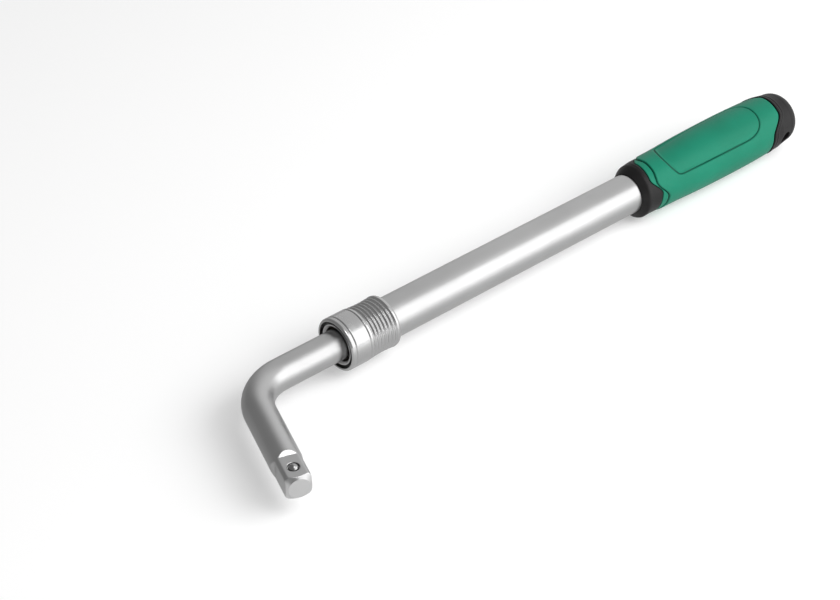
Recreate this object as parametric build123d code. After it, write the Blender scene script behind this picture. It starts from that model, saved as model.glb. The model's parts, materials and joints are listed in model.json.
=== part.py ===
from build123d import *
import math
import os

# Telescopic L-shaped wheel wrench, lying flat.
# Frame: origin at the centre of the square drive's end face, +X along the handle towards
# its butt, +Z up and square to the plane of the L, with the drive arm pointing to -Y.
# The collar is drawn pulled back, so the lock is open and the bar is free to slide.
# Inside this script x counts from the corner of the bar's two centrelines; every solid is
# moved by the same amount when it is written.

# ---- driving dimensions, mm and degrees ----
bar_r = 8.0                # round bar
bend_angle = 109.0         # between the two arms of the bar
bend_r = 26.0              # centreline radius of the bend
arm_length = 74.0          # from the corner of the centrelines to the drive's end face
square = 12.7              # across the flats of the drive
square_length = 16.0
tube_r = 10.85
tube_bore_r = 9.35
travel = 170.0             # the bar's slide, in equal steps between lock grooves
lock_steps = 4
collar_travel = 4.0
collar_r = 14.0
grip_r = 16.5              # largest radius of the grip
grip_roll = 16.0           # the grip's features, turned about the handle's axis
clearance = 0.05           # running clearance on the radius

# ---- places along the handle ----
collar_front = 52.6
collar_end = 83.4
tube_front = 53.4
tube_end = 358.0
ball_x = 64.5              # plane of the lock balls
bush_front = 59.0
bush_end = 79.0
bar_end = 280.0
grip_front = 253.0
grip_end = 376.6
cover_front = 260.8
cover_end = 360.4

arm_x = math.cos(math.radians(bend_angle))
arm_y = -math.sin(math.radians(bend_angle))
tip = Vector(arm_x * arm_length, arm_y * arm_length, 0)


# ---- helpers: everything on the handle is turned about the X axis ----
def turned(points):
    """A solid turned from a closed outline of (x, radius) points."""
    return revolve(make_face(Polyline(*points, close=True)), axis=Axis.X)


def ring(x0, x1, r_in, r_out):
    return turned([(x0, r_in), (x1, r_in), (x1, r_out), (x0, r_out)])


def rod(x0, x1, radius):
    return turned([(x0, 0), (x1, 0), (x1, radius), (x0, radius)])


def round_ring(x, centre_r, section_r):
    """A torus about the handle's axis."""
    return revolve(Pos(x, centre_r) * Circle(section_r), axis=Axis.X)


def split_ring(x0, x1, r_in, r_out, gap):
    """A snap ring, open on its +Z side."""
    slot = Box(2 * (x1 - x0), gap, r_out)
    return ring(x0, x1, r_in, r_out) - Pos((x0 + x1) / 2, 0, r_out) * slot


def radial_rod(x, angle, r_in, r_out, radius):
    """A round pin along a radius of the handle; angle 0 is +Z."""
    length = r_out - r_in
    return Rot(angle, 0, 0) * Pos(x, 0, r_in + length / 2) * Cylinder(radius, length)


def coil(radius, wire_r, length, turns):
    """A round-wire compression spring that stands on the origin along +Z."""
    rise = length - 2 * wire_r
    path = Helix(pitch=rise / turns, height=rise, radius=radius)
    section = Plane(origin=path @ 0, z_dir=path % 0) * Circle(wire_r)
    return Pos(0, 0, wire_r) * sweep(section, path=path, is_frenet=True)


# ---- ball lock ----
ball_r = 2.0
ball_out = 10.05           # radius of the ball centres, lock open
groove_centre_r = 8.95     # section of the lock grooves in the bar
groove_section_r = 2.1
ball_angles = [60 + 120 * i for i in range(3)]


def ball_holes():
    return [radial_rod(ball_x, angle, 5, tube_r + 1, ball_r + clearance) for angle in ball_angles]


def make_lock_ball(angle):
    return Rot(angle, 0, 0) * Pos(ball_x, 0, ball_out) * Sphere(ball_r)


# ---- the bar, with its square drive and detent ----
drive_end = Plane(origin=tip, x_dir=(0, 0, 1), z_dir=(-arm_x, -arm_y, 0))
flat = square / 2
run_out = 4.0              # slope from the flats up to the round bar
end_face_r = 5.2
cone_depth = 2.4           # the turned cone behind the end face
cone_r = 8.6
detent_from_end = 8.0
detent_ball_r = 2.5
detent_lift = 1.25         # how far the ball stands out of the flat
detent_depth = 9.0
detent_floor = flat - detent_depth
spigot_x = 261.0
spigot_r = 5.5
clip_x = 276.3
clip_end = 277.3
clip_groove_r = 4.9


def drive_flats():
    """Material milled off around the drive, one cutter for each flat."""
    outer = bar_r + 1
    outline = Polyline(
        (flat, -1), (flat, square_length), (outer, square_length + run_out), (outer, -1),
        close=True,
    )
    cutter = extrude(Plane.XZ * make_face(outline), bar_r, both=True)
    return [drive_end * Rot(0, 0, 90 * i) * cutter for i in range(4)]


def drive_cone():
    """Material turned off around the end face."""
    base = (Align.CENTER, Align.CENTER, Align.MIN)
    blank = Cylinder(cone_r + 2, cone_depth, align=base)
    return drive_end * (blank - Cone(end_face_r, cone_r, cone_depth, align=base))


def detent_pocket():
    """A drilled pocket whose mouth is staked in round the ball."""
    bore_r = detent_ball_r + clearance
    centre = flat + detent_lift - detent_ball_r
    depth = centre - detent_floor
    hole = Pos(detent_floor + depth / 2, 0, 0) * Rot(0, 90, 0) * Cylinder(bore_r, depth)
    return drive_end * Pos(0, 0, detent_from_end) * (hole + Pos(centre, 0, 0) * Sphere(bore_r))


def make_drive_bar():
    path = FilletPolyline((spigot_x, 0, 0), (0, 0, 0), tuple(tip), radius=bend_r)
    section = Plane(origin=(spigot_x, 0, 0), z_dir=(-1, 0, 0)) * Circle(bar_r)
    bar = sweep(section, path=path)
    bar += rod(spigot_x - 1, bar_end, spigot_r)
    bar -= ring(clip_x - clearance, clip_end + clearance, clip_groove_r, bar_r)
    for i in range(lock_steps + 1):
        bar -= round_ring(ball_x + travel / lock_steps * i, groove_centre_r, groove_section_r)
    for cutter in drive_flats():
        bar -= cutter
    return bar - drive_cone() - detent_pocket()


def make_detent_ball():
    centre = flat + detent_lift - detent_ball_r
    return drive_end * Pos(centre, 0, detent_from_end) * Sphere(detent_ball_r)


def make_detent_spring():
    coil_r = 1.7
    top = flat + detent_lift - detent_ball_r - coil_r - 0.3
    spring = coil(coil_r, 0.3, top - detent_floor, 3)
    return drive_end * Pos(detent_floor + clearance, 0, detent_from_end) * Rot(0, 90, 0) * spring


# ---- tube and nose ----
snap_width = 1.2
snap_r = tube_r - 0.5      # bottom of the snap ring grooves
stop_x = ball_x - collar_travel - 0.1 - snap_width   # ends the collar's forward travel
seat_x = 76.8              # the collar spring's washer
seat_snap_x = seat_x + snap_width
pin_x = 73.0
pin_r = 1.0
pin_inner_r = 8.6


def make_outer_tube():
    tube = ring(tube_front, tube_end, tube_bore_r, tube_r)
    mouth = 0.75           # chamfer inside the mouth
    tube -= turned(
        [(tube_front, tube_bore_r - 1), (tube_front + mouth + 1, tube_bore_r - 1),
         (tube_front, tube_bore_r + mouth)]
    )
    for x in (stop_x, seat_snap_x):
        tube -= ring(x - 0.02, x + snap_width + 0.02, snap_r, tube_r + 1)
    for hole in ball_holes():
        tube -= hole
    return tube - radial_rod(pin_x, 0, 5, tube_r + 1, pin_r)


def make_nose_bush():
    bush = ring(bush_front, bush_end, bar_r + clearance, tube_bore_r)
    for hole in ball_holes():
        bush -= hole
    return bush - radial_rod(pin_x, 0, pin_inner_r, tube_r, pin_r)


# ---- release collar ----
mouth_r = 12.45            # open mouth in front of the balls
release_r = 12.25          # start of the cone that drives the balls in
land_r = 11.0              # holds the balls in, and guides the collar on the tube
land_x = ball_x + collar_travel
chamber_x = land_x + 2.5
chamber_r = 12.6           # chamber for the spring
rib_start = 66.0
rib_end = 81.4
rib_count = 7
waist_x = 74.0
waist_r = 13.4
rear_r = 13.8


def waisted_radius(x):
    """Radius of the collar's tail, hollowed to the waist."""
    ends_r = collar_r if x < waist_x else rear_r
    reach = rib_start - 1 - waist_x if x < waist_x else rib_end - waist_x
    return waist_r + (ends_r - waist_r) * ((x - waist_x) / reach) ** 2


def make_release_collar():
    lip = 1.2
    outside = [
        Line((collar_front, mouth_r + 0.4), (collar_front, collar_r - lip)),
        RadiusArc((collar_front, collar_r - lip), (collar_front + lip, collar_r), lip),
        Line((collar_front + lip, collar_r), (rib_start - 1, collar_r)),
        ThreePointArc((rib_start - 1, collar_r), (waist_x, waist_r), (rib_end, rear_r)),
        ThreePointArc((rib_end, rear_r), (82.8, 13.5), (collar_end, chamber_r + 0.3)),
    ]
    inside = Polyline(
        (collar_end, chamber_r + 0.3), (collar_end, chamber_r), (chamber_x, chamber_r),
        (chamber_x, land_r), (land_x, land_r), (ball_x, release_r), (ball_x, mouth_r),
        (collar_front + 0.4, mouth_r), (collar_front, mouth_r + 0.4),
    )
    collar = revolve(make_face([*outside, *inside.edges()]), axis=Axis.X)
    for x in (collar_front + 3.0, ball_x):
        collar -= ring(x - 0.35, x + 0.35, collar_r - 0.45, collar_r + 1)
    # grip ribs: round-bottomed grooves with narrow crests between them
    pitch = (rib_end - rib_start) / rib_count
    for i in range(rib_count):
        x = rib_start + pitch * (i + 0.5)
        collar -= round_ring(x, waisted_radius(x) + 0.45, 0.9)
    return collar


def make_collar_spring():
    spring = coil(11.75, 0.5, seat_x - chamber_x - 2 * clearance, 3)
    return Pos(chamber_x + clearance, 0, 0) * Rot(0, 90, 0) * spring


# ---- guide at the bar's inner end ----
guide_x = spigot_x + 1.1
guide_end = clip_x - 0.1
o_ring_x = 269.0
o_ring_r = 0.9
o_ring_groove_r = 7.4


def make_guide_piston():
    guide = ring(guide_x, guide_end, spigot_r + clearance, tube_bore_r - clearance)
    half = o_ring_r + 0.1
    return guide - ring(o_ring_x - half, o_ring_x + half, o_ring_groove_r, tube_r)


# ---- grip: black core, green cover, black end cap, drawn before the grip's roll ----
core_r = 13.6
front_r = 15.2
butt_r = 15.7
strip_half = 8.0           # half height of the strips left between the two thumb panels
tab_length = 4.8           # how far the core's tabs reach back along those strips
tail_length = 8.4          # how far the cap's tails reach forward along them
hang_x = 364.1
hang_r = 3.6
cap_r = 14.4               # where the tapered cap starts to round off
cap_edge = 8.0             # rounding of the butt
plug_front = 338.0         # the cap's plug in the tube


def grip_form():
    """The cover's full turned form, core space included."""
    crown = Spline(
        (cover_front, front_r), (279, 15.5), (298, 16.2), (316, grip_r), (342, 16.4),
        (cover_end, butt_r),
    )
    base = Polyline((cover_end, butt_r), (cover_end, 0), (cover_front, 0), (cover_front, front_r))
    return revolve(make_face([crown, *base.edges()]), axis=Axis.X)


def side_blocks(x0, x1):
    """Blocks that mark off the strips at the handle's -Y and +Y sides."""
    block = Box(x1 - x0, grip_r, 2 * strip_half)
    return [Pos((x0 + x1) / 2, side * (core_r + 2), 0) * block for side in (-1, 1)]


def strips(x0, x1):
    """What stands above the core in those strips."""
    above = grip_form() - rod(cover_front - 1, cover_end + 1, core_r)
    return [above & block for block in side_blocks(x0, x1)]


def make_grip_core():
    core = turned(
        [(grip_front, tube_r), (cover_end, tube_r), (cover_end, core_r), (cover_front, core_r),
         (cover_front, front_r), (258.8, 14.9), (256.4, 14.0), (grip_front + 0.4, 11.4),
         (grip_front, 11.2)]
    )
    for tab in strips(cover_front, cover_front + tab_length):
        core += tab
    return core


def make_grip_cover():
    cover = grip_form() - rod(cover_front - 1, cover_end + 1, core_r)
    blocks = side_blocks(cover_front - 1, cover_front + tab_length)
    for block in blocks + side_blocks(cover_end - tail_length, cover_end + 1):
        cover -= block
    return cover


def make_end_cap():
    shoulder = grip_end - cap_edge
    outside = [
        Line((cover_end, butt_r), (shoulder, cap_r)),
        RadiusArc((shoulder, cap_r), (grip_end, cap_r - cap_edge), cap_edge),
    ]
    inside = Polyline(
        (grip_end, cap_r - cap_edge), (grip_end, 0), (plug_front, 0), (plug_front, tube_bore_r),
        (tube_end, tube_bore_r), (tube_end, tube_r), (cover_end, tube_r), (cover_end, butt_r),
    )
    cap = revolve(make_face([*outside, *inside.edges()]), axis=Axis.X)
    for tail in strips(cover_end - tail_length, cover_end):
        cap += tail
    return cap - Pos(hang_x, 0, 0) * Rot(90, 0, 0) * Cylinder(hang_r, 4 * grip_r)


nodes = {
    "drive_bar": make_drive_bar(),
    "detent_ball": make_detent_ball(),
    "detent_spring": make_detent_spring(),
    "outer_tube": make_outer_tube(),
    "nose_bush": make_nose_bush(),
    "bush_pin": radial_rod(pin_x, 0, pin_inner_r, tube_r - clearance, pin_r),
    "collar_stop_ring": split_ring(stop_x, stop_x + snap_width, snap_r, 12.35, 3.0),
    "spring_seat": ring(seat_x, seat_snap_x, tube_r + clearance, 12.4),
    "seat_snap_ring": split_ring(seat_snap_x, seat_snap_x + snap_width, snap_r, 12.3, 3.0),
    "release_collar": make_release_collar(),
    "collar_spring": make_collar_spring(),
    "guide_piston": make_guide_piston(),
    "guide_o_ring": round_ring(o_ring_x, tube_bore_r - clearance - o_ring_r, o_ring_r),
    "thrust_washer": ring(spigot_x + 0.02, guide_x - clearance, spigot_r + clearance, 8.8),
    "bar_retaining_ring": split_ring(clip_x, clip_end, clip_groove_r + clearance, 7.5, 4.0),
    "grip_core": Rot(grip_roll, 0, 0) * make_grip_core(),
    "grip_cover": Rot(grip_roll, 0, 0) * make_grip_cover(),
    "end_cap": Rot(grip_roll, 0, 0) * make_end_cap(),
}
for number, angle in enumerate(ball_angles, 1):
    nodes[f"lock_ball_{number}"] = make_lock_ball(angle)

os.makedirs("parts", exist_ok=True)
for name, solid in nodes.items():
    export_step(Pos(-tip) * solid, f"parts/{name}.step")
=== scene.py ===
import json
import math

import bmesh
import bpy
import numpy as np
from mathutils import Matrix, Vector


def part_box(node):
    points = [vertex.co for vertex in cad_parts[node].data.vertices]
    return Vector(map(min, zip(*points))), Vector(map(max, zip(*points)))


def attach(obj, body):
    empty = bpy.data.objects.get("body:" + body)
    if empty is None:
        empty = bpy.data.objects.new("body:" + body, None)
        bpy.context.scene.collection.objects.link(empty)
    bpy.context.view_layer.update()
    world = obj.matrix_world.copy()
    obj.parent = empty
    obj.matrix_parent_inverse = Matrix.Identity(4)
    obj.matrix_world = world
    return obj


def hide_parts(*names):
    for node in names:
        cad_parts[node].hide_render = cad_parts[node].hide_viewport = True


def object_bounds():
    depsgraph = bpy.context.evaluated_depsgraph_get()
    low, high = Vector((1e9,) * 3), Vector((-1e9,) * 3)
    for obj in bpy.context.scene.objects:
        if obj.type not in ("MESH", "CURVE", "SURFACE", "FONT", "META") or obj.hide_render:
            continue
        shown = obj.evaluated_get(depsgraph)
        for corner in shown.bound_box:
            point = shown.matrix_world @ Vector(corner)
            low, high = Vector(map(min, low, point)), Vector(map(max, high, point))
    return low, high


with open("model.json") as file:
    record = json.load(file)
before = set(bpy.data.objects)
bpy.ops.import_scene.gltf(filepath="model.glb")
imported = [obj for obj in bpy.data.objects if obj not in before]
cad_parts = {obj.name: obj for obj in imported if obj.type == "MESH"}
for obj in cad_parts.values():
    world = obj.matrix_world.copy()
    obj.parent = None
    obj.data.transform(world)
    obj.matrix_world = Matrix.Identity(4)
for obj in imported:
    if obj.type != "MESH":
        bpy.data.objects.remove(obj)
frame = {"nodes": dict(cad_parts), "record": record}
cad_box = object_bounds()

# A telescopic L-shaped wheel wrench, lying flat. The handle lies along +X.
# Lengths in this script are millimetres until a mesh is made; x counts from the corner of
# the bar's two centrelines and theta is the angle about the handle's axis, 0 at +Z and a
# quarter turn at -Y.
MM = 0.001
TAU = 2 * math.pi

# ---- places read from the frame ----
tube_low, tube_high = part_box("outer_tube")
bar_low, bar_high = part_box("drive_bar")
collar_low, collar_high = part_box("release_collar")
core_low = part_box("grip_core")[0]
cap_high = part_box("end_cap")[1]
ball_low, ball_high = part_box("detent_ball")

BAR_R = (bar_high.z - bar_low.z) / 2 / MM
BEND_ANGLE = math.radians(109)
BEND_R = 26.0
BEND_TURN = math.pi - BEND_ANGLE
BEND_TANGENT = BEND_R * math.tan(BEND_TURN / 2)
ARM_LENGTH = 74.0
ARM_STRAIGHT = ARM_LENGTH - BEND_TANGENT
ARM = Vector((math.cos(BEND_ANGLE), -math.sin(BEND_ANGLE), 0))
CORNER = -ARM * ARM_LENGTH * MM         # the drive's end face is at the origin
AXIS_Y = (tube_low.y + tube_high.y) / 2


def along(x_world):
    """A place in the frame as x in this script."""
    return (x_world - CORNER.x) / MM


def mesh_from(name, points, faces, groove=None):
    """A clean closed mesh from millimetre points, in the frame's metres.

    groove is painted shade for each point, 0 to 1, which the material lays over the colour in
    grooves and seams.
    """
    offset = np.array([CORNER.x, AXIS_Y, 0.0])
    mesh = bpy.data.meshes.new(name)
    mesh.from_pydata((np.asarray(points) * MM + offset).tolist(), [], faces)
    # painted shade, kept on the mesh as the attribute groove
    if groove is not None:
        layer = mesh.attributes.new("groove", "FLOAT", "POINT")
        layer.data.foreach_set("value", np.asarray(groove, dtype=np.float32).ravel())
    work = bmesh.new()
    work.from_mesh(mesh)
    bmesh.ops.remove_doubles(work, verts=work.verts, dist=1e-7)
    bmesh.ops.dissolve_degenerate(work, edges=work.edges, dist=1e-8)
    bmesh.ops.recalc_face_normals(work, faces=work.faces)
    work.to_mesh(mesh)
    work.free()
    return mesh


def soften(mesh, sharp=35):
    """Smooth shading, broken only at edges sharper than an angle in degrees."""
    mesh.polygons.foreach_set("use_smooth", [True] * len(mesh.polygons))
    mesh.set_sharp_from_angle(angle=math.radians(sharp))


def solid(name, points, faces, body, node, slot, groove=None):
    """A mesh piece from millimetre points, which stands for a CAD node."""
    piece = bpy.data.objects.new(name, mesh_from(name, points, faces, groove))
    bpy.context.scene.collection.objects.link(piece)
    soften(piece.data)
    piece.data.materials.append(materials[slot])
    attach(piece, body)
    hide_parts(node)
    return piece


def tool(name, points, faces):
    """A cutter for a hole."""
    cutter = bpy.data.objects.new(name, mesh_from(name, points, faces))
    bpy.context.scene.collection.objects.link(cutter)
    return cutter


def cut(piece, cutter):
    """Takes the cutter's space out of the piece and throws the cutter away."""
    change = piece.modifiers.new("cut", "BOOLEAN")
    change.object = cutter
    change.solver = "EXACT"
    graph = bpy.context.evaluated_depsgraph_get()
    mesh = bpy.data.meshes.new_from_object(piece.evaluated_get(graph))
    piece.modifiers.clear()
    piece.data = mesh
    soften(mesh)
    bpy.data.objects.remove(cutter)


def loop_faces(rings, segments, closed):
    """Quads between neighbouring rings of points; closed joins the last ring to the first."""
    faces = []
    for i in range(rings if closed else rings - 1):
        a, b = i * segments, (i + 1) % rings * segments
        for j in range(segments):
            k = (j + 1) % segments
            faces.append((a + j, b + j, b + k, a + k))
    return faces


def about_axis(x, radius, theta):
    """Points on the handle from x, radius and angle, all arrays of one shape."""
    x, radius, theta = np.broadcast_arrays(x, radius, theta)
    return np.stack([x, -radius * np.sin(theta), radius * np.cos(theta)], -1).reshape(-1, 3)


def contour(corners, per_turn=40):
    """A closed outline of (x, radius, rounding) corners, with each corner as an arc."""
    points = []
    count = len(corners)
    for i, (x, r, fillet) in enumerate(corners):
        here = np.array([x, r])
        before = np.array(corners[i - 1][:2]) - here
        after = np.array(corners[(i + 1) % count][:2]) - here
        before /= np.linalg.norm(before)
        after /= np.linalg.norm(after)
        opening = math.acos(np.clip(before @ after, -1, 1))
        if fillet == 0 or math.pi - opening < 0.02:
            points.append(here)
            continue
        reach = fillet / math.tan(opening / 2)
        middle = before + after
        centre = here + middle / np.linalg.norm(middle) * fillet / math.sin(opening / 2)
        start, end = here + before * reach - centre, here + after * reach - centre
        turn = math.atan2(start[0] * end[1] - start[1] * end[0], start @ end)
        steps = max(2, int(abs(turn) / TAU * per_turn) + 1)
        for t in np.linspace(0, turn, steps):
            c, s = math.cos(t), math.sin(t)
            points.append(centre + [c * start[0] - s * start[1], s * start[0] + c * start[1]])
    return np.array(points)


def turned(name, outline, body, node, slot, segments):
    """A ring-shaped piece turned from a closed outline."""
    theta = np.linspace(0, TAU, segments, endpoint=False)
    points = about_axis(outline[:, :1], outline[:, 1:], theta[None, :])
    return solid(name, points, loop_faces(len(outline), segments, True), body, node, slot)


def smooth_step(x, low, high):
    """0 below one place, 1 above the other, and smooth between them."""
    t = np.clip((x - low) / (high - low), 0, 1)
    return t * t * (3 - 2 * t)


# ---- materials ----
class Nodes:
    """A material's node tree, built with short calls."""

    def __init__(self, name):
        self.material = bpy.data.materials.new(name)
        self.material.use_nodes = True
        self.tree = self.material.node_tree
        self.shader = self.tree.nodes["Principled BSDF"]
        self.coords = self.tree.nodes.new("ShaderNodeTexCoord").outputs["Object"]

    def put(self, socket, value):
        if hasattr(value, "links"):
            self.tree.links.new(value, socket)
        else:
            socket.default_value = value

    def add(self, kind, output, **inputs):
        node = self.tree.nodes.new(kind)
        for key, value in inputs.items():
            self.put(node.inputs[key], value)
        return node.outputs[output]

    def math(self, operation, first, second):
        node = self.tree.nodes.new("ShaderNodeMath")
        node.operation = operation
        self.put(node.inputs[0], first)
        self.put(node.inputs[1], second)
        return node.outputs[0]

    def scaled(self, x, y, z):
        """Object coordinates, stretched by a factor along each axis."""
        return self.add("ShaderNodeMapping", "Vector", Vector=self.coords, Scale=(x, y, z))

    def noise(self, scale, detail=3.0, vector=None):
        return self.add("ShaderNodeTexNoise", "Fac", Vector=vector or self.coords,
                        Scale=scale, Detail=detail)

    def span(self, value, low, high, start=0.3, stop=0.7):
        """Spreads a texture value over a range of numbers."""
        node = self.tree.nodes.new("ShaderNodeMapRange")
        for socket, number in zip(node.inputs, (value, start, stop, low, high)):
            self.put(socket, number)
        return node.outputs["Result"]

    def mix(self, factor, first, second):
        """One colour fading into another."""
        node = self.tree.nodes.new("ShaderNodeMix")
        node.data_type = "RGBA"
        self.put(node.inputs["Factor"], factor)
        for name, value in (("A", first), ("B", second)):
            socket = [s for s in node.inputs if s.name == name and s.type == "RGBA"][0]
            self.put(socket, value)
        return [s for s in node.outputs if s.type == "RGBA"][0]

    def bump(self, height, distance, strength=1.0, under=None):
        node = self.tree.nodes.new("ShaderNodeBump")
        node.inputs["Distance"].default_value = distance
        node.inputs["Strength"].default_value = strength
        self.put(node.inputs["Height"], height)
        if under:
            self.put(node.inputs["Normal"], under)
        return node.outputs["Normal"]

    def finish(self, **sockets):
        for key, value in sockets.items():
            self.put(self.shader.inputs[key.replace("_", " ")], value)
        return self.material


def grey(value):
    return (value, value, value, 1)


def satin_chrome(name, shade, roughness, marks=(1, 1, 1)):
    """Satin chrome: a fine blasted grain, drawing or turning marks, and an uneven polish."""
    n = Nodes(name)
    cloud = n.noise(35, 4)
    grain = n.noise(2600, 2)
    lines = n.noise(700, 3, n.scaled(*marks))
    colour = n.mix(n.span(cloud, 0, 1), grey(shade * 0.95), grey(shade * 1.04))
    fine = n.bump(grain, 0.000003, 0.6)
    return n.finish(
        Base_Color=colour, Metallic=1.0,
        Roughness=n.span(lines, roughness - 0.03, roughness + 0.04),
        Normal=n.bump(lines, 0.000006, 0.3, under=fine),
    )


def steel(name, shade, roughness):
    """Bare steel with a cloudy tone."""
    n = Nodes(name)
    tone = n.noise(400, 3)
    colour = n.mix(n.span(tone, 0, 1), grey(shade * 0.85), grey(shade * 1.1))
    return n.finish(Base_Color=colour, Metallic=1.0,
                    Roughness=n.span(tone, roughness - 0.05, roughness + 0.08),
                    Normal=n.bump(n.noise(1500), 0.00001, 0.3))


def bronze(name):
    """Sintered bronze, dark with oil."""
    n = Nodes(name)
    pores = n.noise(2500, 2)
    colour = n.mix(n.span(pores, 0, 1), (0.045, 0.032, 0.018, 1), (0.10, 0.075, 0.042, 1))
    return n.finish(Base_Color=colour, Metallic=0.9, Roughness=0.45,
                    Normal=n.bump(pores, 0.00002, 0.5))


def moulded(name, dark, light, roughness, grain, depth, gloss=0.35):
    """Moulded plastic or rubber with a fine spark-eroded grain, and painted shade in its grooves
    and seams.
    """
    n = Nodes(name)
    cloud = n.noise(45, 4)
    fine = n.noise(grain, 2)
    colour = n.mix(n.span(cloud, 0, 1), dark, light)
    # painted shade: where the groove attribute is high, the colour goes to 0.3 of the dark tone
    groove = n.tree.nodes.new("ShaderNodeAttribute")
    groove.attribute_name = "groove"
    painted_groove_shade = tuple(0.30 * c for c in dark[:3]) + (1,)
    colour = n.mix(groove.outputs["Fac"], colour, painted_groove_shade)
    n.shader.inputs["Specular IOR Level"].default_value = gloss
    return n.finish(Base_Color=colour, Metallic=0.0,
                    Roughness=n.span(fine, roughness - 0.05, roughness + 0.06),
                    Normal=n.bump(fine, depth, 0.5))


materials = {
    "satin_chrome_bar": satin_chrome("satin_chrome_bar", 0.56, 0.32),
    "satin_chrome_tube": satin_chrome("satin_chrome_tube", 0.57, 0.32, (0.12, 1, 1)),
    "satin_chrome_collar": satin_chrome("satin_chrome_collar", 0.58, 0.24, (0.5, 0.1, 0.1)),
    "polished_steel": steel("polished_steel", 0.42, 0.13),
    "spring_steel": steel("spring_steel", 0.35, 0.35),
    "plain_steel": steel("plain_steel", 0.45, 0.3),
    "bronze_bush": bronze("bronze_bush"),
    "guide_nylon": moulded("guide_nylon", (0.62, 0.60, 0.52, 1), (0.70, 0.68, 0.60, 1),
                           0.45, 1200, 0.00002),
    "seal_rubber": moulded("seal_rubber", grey(0.010), grey(0.016), 0.5, 1800, 0.00002),
    "black_plastic": moulded("black_plastic", (0.006, 0.0055, 0.0057, 1),
                             (0.009, 0.0082, 0.0086, 1), 0.46, 1500, 0.00003, 0.32),
    "green_rubber": moulded("green_rubber", (0.002, 0.160, 0.094, 1), (0.003, 0.190, 0.114, 1),
                            0.45, 1300, 0.00002, 0.24),
}
for entry in frame["record"]["subparts"]:
    cad = frame["nodes"][entry["node"]]
    cad.data.materials.clear()
    cad.data.materials.append(materials[entry["material_slot"]])
    cad.data.polygons.foreach_set("use_smooth", [True] * len(cad.data.polygons))

# ---- the bar ----
SQUARE = 12.7                           # half-inch drive
SQUARE_LENGTH = 16.0
RUN_OUT = 4.0                           # the slope from a flat up to the round bar
END_R, END_CONE = 5.2, 3.4 / 2.4        # the end face's radius, and the cone behind it
BAR_END = 280.0
SPIGOT_X, SPIGOT_R = 261.0, 5.5         # the thin inner end, which holds the guide
SPIGOT_CUT = 0.6                        # depth of its ring groove and of its end chamfer
RING_X = (276.27, 277.33)
LOCK_X, LOCK_STEP, LOCK_COUNT = 64.5, 42.5, 5
LOCK_R, LOCK_MIDDLE_R = 2.1, 8.95       # a lock groove's round, and how far out its middle is
X_SHIFT = ARM_STRAIGHT + BEND_TURN * BEND_R - BEND_TANGENT     # s = x + X_SHIFT on the long leg


def soft_min(*values, blend=0.15):
    """The least of several arrays, with the corners between them rounded off."""
    least = np.minimum.reduce(np.broadcast_arrays(*values))
    total = sum(np.exp((least - v) / blend) for v in values)
    return least - blend * np.log(total)


def bar_path(s):
    """Centre points and sideways directions of the bar, s from the end face inwards."""
    bent = BEND_TURN * BEND_R
    heading = BEND_TURN - np.clip((s - ARM_STRAIGHT) / BEND_R, 0, BEND_TURN)
    pivot = np.array([BEND_TANGENT, -BEND_R])
    out = np.stack([-np.sin(heading), np.cos(heading)], -1)
    centre = pivot + BEND_R * out
    forward = np.stack([np.cos(heading), np.sin(heading)], -1)
    centre += forward * np.minimum(s - ARM_STRAIGHT, 0)[:, None]
    centre += forward * np.maximum(s - ARM_STRAIGHT - bent, 0)[:, None]
    return centre, out


def bar_stations():
    """Places of the rings along the bar, close together where the section changes."""
    runs = [
        np.arange(0.0, 3.2, 0.12),
        np.arange(3.2, SQUARE_LENGTH - 0.6, 0.5),
        np.arange(SQUARE_LENGTH - 0.6, SQUARE_LENGTH + RUN_OUT, 0.15),
        np.arange(SQUARE_LENGTH + RUN_OUT, ARM_STRAIGHT, 1.5),
        np.linspace(ARM_STRAIGHT, ARM_STRAIGHT + BEND_TURN * BEND_R, 40),
        np.arange(BEND_TANGENT, SPIGOT_X - 1, 2.0) + X_SHIFT,
        np.arange(SPIGOT_X - 1, SPIGOT_X + 0.8, 0.1) + X_SHIFT,
        np.array([270.0, 276.0, 276.25, 276.3, 277.3, 277.35, 277.6, 279.0]) + X_SHIFT,
        np.array([279.4, 279.7, 279.9, BAR_END]) + X_SHIFT,
    ]
    for i in range(LOCK_COUNT):
        middle = LOCK_X + LOCK_STEP * i + X_SHIFT
        runs.append(middle + np.arange(-2.4, 2.41, 0.12))
    return np.unique(np.concatenate(runs).round(3))


def bar_radius(s, phi):
    """Radius of the bar at a place along it and an angle round it, 0 at +Z."""
    off_flat = np.abs((phi + math.pi / 4) % (math.pi / 2) - math.pi / 4)
    rise = np.clip((s - SQUARE_LENGTH) / RUN_OUT, 0, None) * (BAR_R + 1 - SQUARE / 2)
    flats = (SQUARE / 2 + rise) / np.cos(off_flat)
    cone = END_R + np.minimum(s, 20) * END_CONE
    radius = soft_min(BAR_R + 0 * flats, flats, cone + 0 * flats)
    x = s - X_SHIFT
    for i in range(LOCK_COUNT):
        dx = np.minimum(np.abs(x - LOCK_X - LOCK_STEP * i), LOCK_R)
        groove = LOCK_MIDDLE_R - np.sqrt(LOCK_R ** 2 - dx ** 2)
        rounded = soft_min(radius, groove + 0 * radius, blend=0.08)
        radius = np.where(dx < LOCK_R, rounded, radius)
    spigot = BAR_R - (BAR_R - SPIGOT_R) * smooth_step(x, SPIGOT_X - 0.1, SPIGOT_X + 0.1)
    spigot -= SPIGOT_CUT * ((x > RING_X[0]) & (x < RING_X[1]))
    spigot -= SPIGOT_CUT * np.clip((x - (BAR_END - SPIGOT_CUT)) / SPIGOT_CUT, 0, 1)
    return np.minimum(radius, spigot)


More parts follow.
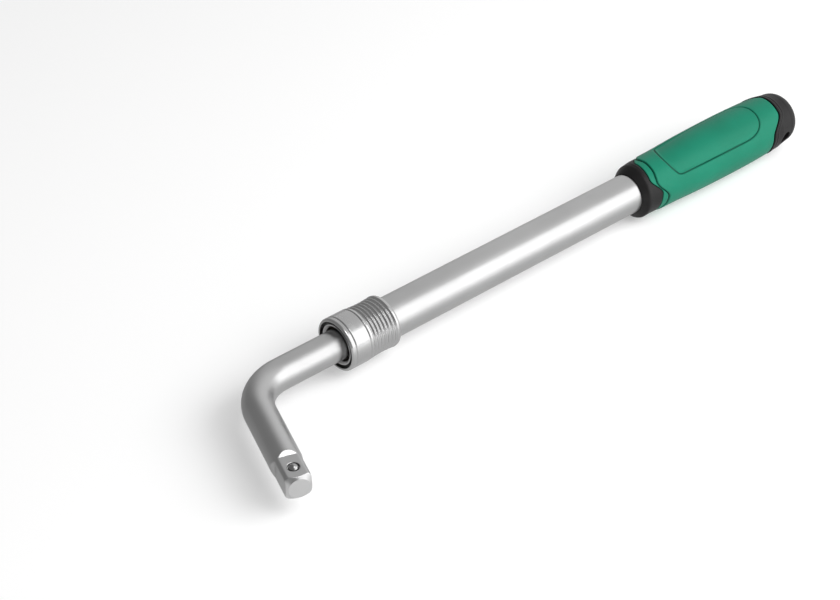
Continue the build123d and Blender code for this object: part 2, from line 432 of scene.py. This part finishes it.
def make_bar():
    """The bent bar with its square drive, lock grooves and the drilled ball pocket."""
    segments = 192
    s = bar_stations()
    phi = np.linspace(0, TAU, segments, endpoint=False)
    radius = bar_radius(s[:, None], phi[None, :])
    centre, out = bar_path(s)
    points = np.zeros((len(s) + 2, segments, 3))
    points[1:-1, :, :2] = centre[:, None] + (radius * np.sin(phi))[..., None] * out[:, None]
    points[1:-1, :, 2] = radius * np.cos(phi)
    # the two ends close on a point
    points[0, :, :2] = centre[0]
    points[-1, :, :2] = centre[-1]
    faces = loop_faces(len(points), segments, False)
    bar = solid("drive_bar_forged", points.reshape(-1, 3), faces, "bar", "drive_bar",
                "satin_chrome_bar")
    cut(bar, detent_pocket())


def detent_pocket():
    """The drilled pocket of the detent ball, with a chamfer round its mouth."""
    flat = SQUARE / 2
    floor, bore_r = -3.0, 2.55
    profile = np.array([(floor, 0.0), (floor, bore_r), (flat - 1.4, bore_r), (flat - 1.3, 3.0),
                        (flat - 0.2, 3.05), (flat, 3.25), (flat + 1.0, 4.2), (flat + 1.0, 0.0)])
    middle = (Vector(ball_low) + Vector(ball_high)) / 2 / MM
    theta = np.linspace(0, TAU, 64, endpoint=False)
    z, r = profile[:, :1], profile[:, 1:]
    x = middle.x - CORNER.x / MM + r * np.cos(theta)
    y = middle.y - AXIS_Y / MM + r * np.sin(theta)
    points = np.stack([x, y, z + 0 * x], -1).reshape(-1, 3)
    return tool("pocket_cutter", points, loop_faces(len(profile), 64, False))


# ---- release collar ----
COLLAR_R = (collar_high.z - collar_low.z) / 2 / MM
COLLAR_FRONT, COLLAR_END = along(collar_low.x), along(collar_high.x)
LIP = 1.3                               # rounding of the collar's front edge
THIN_GROOVES = (COLLAR_FRONT + 3.0, LOCK_X)
THIN_DEPTH, THIN_HALF = 0.4, 0.26
RIBS, RIB_DEPTH = 7, 0.8
RIB_START, RIB_END = 66.0, 81.4
WAIST_X, WAIST_R, REAR_R = 74.0, 13.4, 13.8


def collar_radius(x):
    """Outside of the collar: two thin grooves, then round ribs on a waisted tail."""
    ends_r = np.where(x < WAIST_X, COLLAR_R, REAR_R)
    reach = np.where(x < WAIST_X, RIB_START - 1 - WAIST_X, RIB_END - WAIST_X)
    waist = WAIST_R + (ends_r - WAIST_R) * np.clip((x - WAIST_X) / reach, -1, 1) ** 2
    radius = np.where(x < RIB_START - 1, COLLAR_R, waist)
    pitch = (RIB_END - RIB_START) / RIBS
    inside = (x > RIB_START) & (x < RIB_END)
    wave = 0.5 - 0.5 * np.cos((x - RIB_START) / pitch * TAU)
    radius = radius - np.where(inside, RIB_DEPTH * wave, 0)
    for groove in THIN_GROOVES:
        radius = radius - THIN_DEPTH * np.exp(-((x - groove) / THIN_HALF) ** 2)
    tail = np.clip((x - RIB_END) / (COLLAR_END - RIB_END), 0, 1)
    return radius - (1 - np.sqrt(1 - tail ** 2))


def make_collar():
    """The release collar: lip, thin grooves and ribs outside, spring room and ball ramp inside."""
    x = np.concatenate([np.arange(COLLAR_FRONT + LIP, COLLAR_END, 0.09), [COLLAR_END]])
    outside = np.stack([x, collar_radius(x)], -1)
    arc = np.linspace(math.pi / 2, 0, 12, endpoint=False)
    front_x = COLLAR_FRONT + LIP - LIP * np.sin(arc)
    front_r = COLLAR_R - LIP + LIP * np.cos(arc)
    front = np.stack([front_x, front_r], -1)
    spring_r, land_r, ramp_r, mouth_r = 12.6, 11.0, 12.25, 12.45
    corners = [(COLLAR_END, spring_r, 0.15), (71.0, spring_r, 0.1), (71.0, land_r, 0.1),
               (68.5, land_r, 0.1), (64.5, ramp_r, 0), (64.5, mouth_r, 0),
               (COLLAR_FRONT, mouth_r, 0.35)]
    # two corners more close the outline for the fillets; the outside stands in their place
    closing = [(COLLAR_FRONT, 13.0, 0), (COLLAR_END, 12.9, 0)]
    inside = contour(corners + closing)[:-len(closing)]
    outline = np.concatenate([front, outside, inside])
    turned("release_collar_ribbed", outline, "collar", "release_collar", "satin_chrome_collar", 200)


# ---- grip ----
GRIP_ROLL = math.radians(16)
GRIP_FRONT = along(core_low.x)
GRIP_END = along(cap_high.x)
COVER_FRONT, COVER_END = 260.8, 360.4
CORE_R = 13.6
SEAM = 0.12                             # half the gap between the black front and the green
BUTT_SEAM = 0.22                        # half the gap between the green and the cap
FRONT_STEP = 0.45                       # how far the black front and the strip behind it lie lower
LEAN_TO = math.radians(135)             # the side to which the grip's pattern leans
LEAN = 1.5                              # how far the front face's edge leans forward and back
PATTERN_LEAN = 1.8                      # and how far the two lines behind it do
FULLER = 0.28                           # how much the front's edge stands out on that side
TAB_LENGTH = 7.3                        # the black front's side tabs
TAIL_LENGTH = 7.2                       # the cap's side tails
LINE_HALF, LINE_DEPTH = 0.38, 0.7       # the thin lines in the green
GRIP_SEGMENTS = 360
theta_grip = np.linspace(0, TAU, GRIP_SEGMENTS, endpoint=False)
off_side = np.degrees(np.abs(np.abs((theta_grip + math.pi) % TAU - math.pi) - math.pi / 2))
tilt = -np.cos(theta_grip + GRIP_ROLL - LEAN_TO)
# the front's side tabs reach further round underneath
off_front = off_side - 18 * smooth_step(off_side, 20, 45) * (np.cos(theta_grip) < 0)


def grip_radius(x):
    """The grip's swell, through a few radii as a smooth curve."""
    places = np.array([240.0, COVER_FRONT, 279, 298, 316, 342, COVER_END, 380])
    radii = np.array([14.6, 15.2, 15.5, 16.2, 16.5, 16.4, 15.7, 14.6])
    slopes = np.gradient(radii, places)
    i = np.clip(np.searchsorted(places, x) - 1, 0, len(places) - 2)
    h = places[i + 1] - places[i]
    t = np.clip((x - places[i]) / h, 0, 1)
    return ((1 + 2 * t) * (1 - t) ** 2 * radii[i] + t * (1 - t) ** 2 * h * slopes[i]
            + t * t * (3 - 2 * t) * radii[i + 1] + t * t * (t - 1) * h * slopes[i + 1])


def front_edge(off):
    """Where the black front ends and the green starts, by the angle off the side line."""
    return COVER_FRONT - 1.6 + TAB_LENGTH * (1 - smooth_step(off, 24, 64)) + PATTERN_LEAN * tilt


def front_groove(off):
    """The thin line in the green that follows that edge."""
    rise = 0.5 * smooth_step(off, 57, 80) + (TAB_LENGTH + 1) * (1 - smooth_step(off, 8, 54))
    return COVER_FRONT + 2.4 + rise + PATTERN_LEAN * tilt


def butt_edge(off):
    """Where the green ends and the black cap starts."""
    return COVER_END + 0.2 - TAIL_LENGTH * (1 - smooth_step(off, 24, 66)) + tilt


PANEL_START, PANEL_OVAL, PANEL_END = 274.9, 330.0, 345.8
PANEL_HALF, PANEL_CORNER = 12.8, 6.0
PANEL_BOW = 0.028                       # the bow of its front edge, per mm of width squared
DISH_DEPTH, DISH_EDGE = 0.8, 1.6        # the thumb panel's hollow, and the width of its wall
ARC_R = 16.2                            # the grip's mean radius, for lengths round it


def panel_half_width(x):
    """Half the thumb panel's width round the grip: bowed front edge, oval butt end."""
    width = PANEL_HALF + 0.4 * np.clip((x - PANEL_START) / (PANEL_OVAL - PANEL_START), 0, 1)
    corner_start = PANEL_START + PANEL_BOW * (PANEL_HALF - PANEL_CORNER) ** 2
    into = np.clip(1 - (x - corner_start) / PANEL_CORNER, 0, 1)
    width = width - PANEL_CORNER * (1 - np.sqrt(1 - into ** 2))
    bowed = np.sqrt(np.clip((x - PANEL_START) / PANEL_BOW, 0, None))
    tip = np.clip((x - PANEL_OVAL) / (PANEL_END - PANEL_OVAL), 0, 1)
    width = np.minimum(width, bowed) * (1 - tip ** 2.5) ** 0.4
    return np.where((x < PANEL_START) | (x > PANEL_END), 0, width)


def panel_distance(x, arc):
    """Distance to the thumb panel's outline, and whether a point is inside it."""
    edge_x = np.concatenate([
        PANEL_START + 9.0 * np.linspace(0, 1, 110) ** 2, np.arange(284.4, PANEL_OVAL, 0.5),
        PANEL_OVAL + (PANEL_END - PANEL_OVAL) * np.sin(np.linspace(0, math.pi / 2, 90)),
    ])
    outline = np.stack([edge_x, panel_half_width(edge_x)], -1)
    steps = np.linspace(0, 1, 4, endpoint=False)[:, None]
    outline = np.concatenate([outline[i] + steps * (outline[i + 1] - outline[i])
                              for i in range(len(outline) - 1)])
    distance = np.empty(x.shape)
    for i in range(x.shape[0]):
        gap = np.hypot(x[i][:, None] - outline[:, 0], np.abs(arc[i])[:, None] - outline[:, 1])
        distance[i] = gap.min(1)
    return distance, np.abs(arc) < panel_half_width(x)


def rolled_edge(distance, radius=0.55):
    """How far a surface drops towards its rounded edge."""
    u = np.clip(1 - distance / radius, 0, 1)
    return radius * (1 - np.sqrt(1 - u * u))


def edge_spacing(count, length, radius=0.6):
    """Fractions from 0 to 1, close together at both ends."""
    painted_reflection_side = np.array([0, 0.04, 0.1, 0.2, 0.33, 0.5, 0.75, 1.0]) * radius / length
    return np.concatenate([painted_reflection_side, np.linspace(painted_reflection_side[-1], 1 - painted_reflection_side[-1], count)[1:-1], 1 - painted_reflection_side[::-1]])


def make_grip_cover():
    """The green soft cover, with two dished thumb panels and a line behind its front edge."""
    front, back = front_edge(off_front) + SEAM, butt_edge(off_side) - BUTT_SEAM
    t = edge_spacing(330, 95.0)[:, None]
    x = front + t * (back - front)
    radius = grip_radius(x)
    # angle from the nearer panel's middle line, as an arc length
    fold = (theta_grip + math.pi / 2) % math.pi - math.pi / 2
    arc = np.broadcast_to(fold * ARC_R, x.shape)
    distance, inside = panel_distance(x, arc)
    dish = np.clip(distance / DISH_EDGE, 0, 1) * (1 - smooth_step(x, 277, 318))
    radius = radius - np.where(inside, DISH_DEPTH * dish, 0)
    past_groove = x - front_groove(off_front)
    # the panel's line is wider along its front edge
    panel_half = LINE_HALF + 0.28 * (1 - smooth_step(x, 276.5, 279.5))
    panel_line = np.exp(-(distance / panel_half) ** 2)
    line = np.maximum(panel_line, np.exp(-(past_groove / LINE_HALF) ** 2))
    radius = radius - LINE_DEPTH * line
    radius = radius - FRONT_STEP * (1 - smooth_step(past_groove, -0.4, 0.4))
    radius = radius - rolled_edge(x - front) - rolled_edge(back - x, 1.0)
    # painted shade: full in the thin lines and falling off within 0.6 mm of the front and butt
    # seams
    shade = np.maximum(line, np.clip(1 - np.minimum(x - front, back - x) / 0.6, 0, 1))
    inner = np.full_like(x[:2], CORE_R + 0.02)
    rings_x = np.concatenate([x, x[-1:], x[:1]])
    rings_r = np.concatenate([radius, inner])
    points = about_axis(rings_x, rings_r, theta_grip + GRIP_ROLL)
    faces = loop_faces(len(rings_x), GRIP_SEGMENTS, True)
    # the hidden inner wall gets full painted shade
    shade = np.concatenate([shade, np.ones_like(inner)])
    solid("grip_cover_soft", points, faces, "handle", "grip_cover", "green_rubber", shade)


def make_grip_core():
    """The black core: a rounded nose, side tabs, and a sleeve over the tube."""
    bore = (tube_high.z - tube_low.z) / 2 / MM + 0.01
    edge = front_edge(off_front) - SEAM
    nose_end = 261.5
    nose = contour([(GRIP_FRONT, bore, 0.1), (GRIP_FRONT, 11.25, 0.15), (256.6, 14.25, 2.4),
                    (nose_end, 14.9, 0), (nose_end, bore, 0)])[:-2]
    # the face leans: its edge is further forward, and fuller, under the handle's near side
    towards = np.cos(theta_grip + GRIP_ROLL - LEAN_TO)
    outer = smooth_step(nose[:, 1:], 12.0, 14.2)
    nose_x = nose[:, :1] - outer * LEAN * towards
    nose_r = nose[:, 1:] + outer * FULLER * (1 + towards)
    t = np.concatenate([np.linspace(0, 0.8, 8)[1:], np.linspace(0.8, 1, 10)[1:]])[:, None]
    band_x = nose_x[-1] + t * (edge - nose_x[-1])
    blend = smooth_step(t, 0, 0.5)
    band_r = nose_r[-1] * (1 - blend) + (grip_radius(band_x) - FRONT_STEP) * blend
    band_r = band_r - rolled_edge(edge - band_x)
    ones = np.ones(GRIP_SEGMENTS)
    sleeve_x = np.array([COVER_END, COVER_END])[:, None] * ones
    sleeve_r = np.array([CORE_R, bore])[:, None] * ones
    rings_x = np.concatenate([nose_x, band_x, edge[None, :], sleeve_x])
    rings_r = np.concatenate([nose_r, band_r, (CORE_R * ones)[None, :], sleeve_r])
    points = about_axis(rings_x, rings_r, theta_grip + GRIP_ROLL)
    faces = loop_faces(len(rings_x), GRIP_SEGMENTS, True)
    solid("grip_core_moulded", points, faces, "handle", "grip_core", "black_plastic")


CAP_R, CAP_ROUND = 14.4, 8.0
CAP_SHOULDER = GRIP_END - CAP_ROUND


def make_end_cap():
    """The black butt: a tapered round cap with side tails, and a plug in the tube."""
    start = butt_edge(off_side) + BUTT_SEAM
    t = edge_spacing(70, 14.0)[:, None]
    x = start + t * (CAP_SHOULDER - start)
    taper = np.interp(x, [COVER_END, CAP_SHOULDER], [0, 1])
    radius = grip_radius(np.minimum(x, COVER_END)) * (1 - taper) + CAP_R * taper
    radius = radius - rolled_edge(x - start)
    # a raised rim beside the green, with a shallow line behind it
    radius = radius + 0.25 * (1 - smooth_step(x - start, 1.5, 4.5))
    radius = radius - 0.28 * np.exp(-((x - start - 2.1) / 0.45) ** 2)
    turn = np.linspace(0.02, math.pi / 2, 20)
    ones = np.ones(GRIP_SEGMENTS)
    round_x = (CAP_SHOULDER + CAP_ROUND * np.sin(turn))[:, None] * ones
    round_r = (CAP_R - CAP_ROUND + CAP_ROUND * np.cos(turn))[:, None] * ones
    crown_x = np.full((3, GRIP_SEGMENTS), GRIP_END)
    crown_r = np.array([5.5, 3.0, 0.0])[:, None] * ones
    plug_start, plug_end, flange = 338.0, 357.9, COVER_END + 0.1
    plug_r, spigot_r, flange_r = 9.3, 10.8, CORE_R + 0.05
    inner = np.array([(plug_start, 0.0), (plug_start, plug_r), (plug_end, plug_r),
                      (plug_end, spigot_r), (flange, spigot_r), (flange, flange_r)])
    inner_x, inner_r = inner[:, :1] * ones, inner[:, 1:] * ones
    rings_x = np.concatenate([inner_x, start[None, :], x, round_x, crown_x])
    rings_r = np.concatenate([inner_r, (ones * flange_r)[None, :], radius, round_r, crown_r])
    points = about_axis(rings_x, rings_r, theta_grip + GRIP_ROLL)
    faces = loop_faces(len(rings_x), GRIP_SEGMENTS, False)
    cap = solid("end_cap_moulded", points, faces, "handle", "end_cap", "black_plastic")
    cut(cap, hanging_hole())


def hanging_hole():
    """A round hole across the cap, with rounded mouths that follow its surface."""
    hole_x, hole_r, mouth = 364.1, 3.6, 0.6
    phi = np.linspace(0, TAU, 96, endpoint=False)
    level = 0 * phi
    rim_x = hole_x + hole_r * np.cos(phi)
    outside = np.interp(rim_x, [COVER_END, CAP_SHOULDER], [15.75, CAP_R])
    surface = np.sqrt(outside ** 2 - (hole_r * np.sin(phi)) ** 2)
    rings = [(level, level + hole_r)]
    for u in np.linspace(0, 1, 9)[1:-1]:
        flare = mouth * (1 - math.sqrt(1 - u * u))
        rings.append((surface - mouth * (1 - u), level + hole_r + flare))
    rings += [(surface + 0.7, level + hole_r + mouth + 0.9), (level + 17.0, level)]
    half = np.array(rings)
    profile = np.concatenate([half[::-1] * np.array([-1, 1])[:, None], half[1:]])
    t, r = profile[:, 0], profile[:, 1]
    x = hole_x + r * np.cos(phi)
    side = r * np.sin(phi)
    c, s = math.cos(GRIP_ROLL), math.sin(GRIP_ROLL)
    points = np.stack([x, t * c - side * s, t * s + side * c], -1).reshape(-1, 3)
    return tool("hole_cutter", points, loop_faces(len(profile), 96, False))


make_bar()
make_collar()
make_grip_core()
make_grip_cover()
make_end_cap()

# ---- stage, light and camera ----
centre = (cad_box[0] + cad_box[1]) / 2


def area_light(name, place, aim, size, power, in_gloss=True):
    """A rectangular lamp; one that isn't in the gloss only lights matt surfaces."""
    light = bpy.data.lights.new(name, "AREA")
    light.shape = "RECTANGLE"
    light.size, light.size_y = size
    light.energy = power
    lamp = bpy.data.objects.new(name, light)
    lamp.location = place
    lamp.rotation_euler = (Vector(aim) - Vector(place)).to_track_quat("-Z", "Y").to_euler()
    lamp.visible_glossy = in_gloss
    bpy.context.scene.collection.objects.link(lamp)


def light_table():
    """White paper lit from below as well; its colour in the gloss is a painted reflection, with
    painted shade behind the wrench and brighter towards the front.
    """
    n = Nodes("light_table")
    split = n.tree.nodes.new("ShaderNodeSeparateXYZ")
    n.put(split.inputs[0], n.coords)
    x, y = split.outputs["X"], split.outputs["Y"]
    # painted reflection: in the gloss the floor falls to near black behind the wrench and rises
    # towards +X and towards -Y; elsewhere it is plain 0.70 paper
    painted_reflection_side = n.span(n.math("SUBTRACT", x, y), 0.02, 0.30, -0.09, -0.01)
    front = n.span(y, 0.55, 0.0, -0.08, 0.050)
    in_gloss = n.tree.nodes.new("ShaderNodeLightPath").outputs["Is Glossy Ray"]
    colour = n.mix(in_gloss, grey(0.70), n.math("ADD", painted_reflection_side, front))
    return n.finish(Base_Color=colour, Roughness=0.9, Specular_IOR_Level=0.0,
                    Emission_Color=grey(1.0), Emission_Strength=0.30)


def make_stage():
    """A plain floor just under the wrench."""
    size = 6.0
    mesh = bpy.data.meshes.new("floor")
    floor_z = cad_box[0].z - 0.0002
    corners = [(-size, -size), (size, -size), (size, size), (-size, size)]
    mesh.from_pydata([(x, y, floor_z) for x, y in corners], [], [(0, 1, 2, 3)])
    floor = bpy.data.objects.new("floor", mesh)
    bpy.context.scene.collection.objects.link(floor)
    floor.data.materials.append(light_table())
    bpy.context.scene.view_settings.view_transform = "Standard"


def make_studio():
    """A studio that is dark on the drive's side and light on the grip's, as the chrome sees it."""
    world = bpy.data.worlds.new("studio")
    world.use_nodes = True
    tree = world.node_tree
    direction = tree.nodes.new("ShaderNodeTexCoord").outputs["Generated"]
    split = tree.nodes.new("ShaderNodeSeparateXYZ")
    tree.links.new(direction, split.inputs[0])
    side = tree.nodes.new("ShaderNodeMapRange")
    side.interpolation_type = "SMOOTHSTEP"
    tree.links.new(split.outputs["X"], side.inputs["Value"])
    for name, value in (("From Min", 0.0), ("From Max", 0.75), ("To Min", 0.25), ("To Max", 0.82)):
        side.inputs[name].default_value = value
    background = tree.nodes["Background"]
    tree.links.new(side.outputs["Result"], background.inputs["Strength"])
    background.inputs["Color"].default_value = (1, 1, 1, 1)
    bpy.context.scene.world = world


def make_camera():
    """A long lens from the drive's side, looking down over the wrench."""
    azimuth, elevation = math.radians(-40.88), math.radians(36.83)
    aim = centre + Vector((-0.0400, 0.0490, -0.0191))
    flat = math.cos(elevation)
    back = Vector((math.sin(azimuth) * flat, -math.cos(azimuth) * flat, math.sin(elevation)))
    data = bpy.data.cameras.new("camera")
    data.lens = 91.1
    data.sensor_width = 36
    data.shift_x = -0.0144
    data.shift_y = -0.0098
    camera = bpy.data.objects.new("camera", data)
    camera.location = aim + back * 1.1
    camera.rotation_euler = (-back).to_track_quat("-Z", "Y").to_euler()
    bpy.context.scene.collection.objects.link(camera)
    bpy.context.scene.camera = camera


make_stage()
make_studio()
make_camera()
area_light("key_gloss", (0.9, -0.75, 0.78), (0.9, 0.07, 0), (2.1, 0.74), 6.1)
area_light("key_low", (0.9, -1.05, 0.27), (0.9, 0.07, 0), (2.1, 0.47), 4.2)
area_light("key_matt", (0.9, -1.0, 1.1), (0.25, 0.05, 0), (1.4, 1.0), 19, in_gloss=False)
area_light("top", (0.25, -0.40, 1.2), (0.0, 0.02, 0), (0.5, 0.5), 2.6)
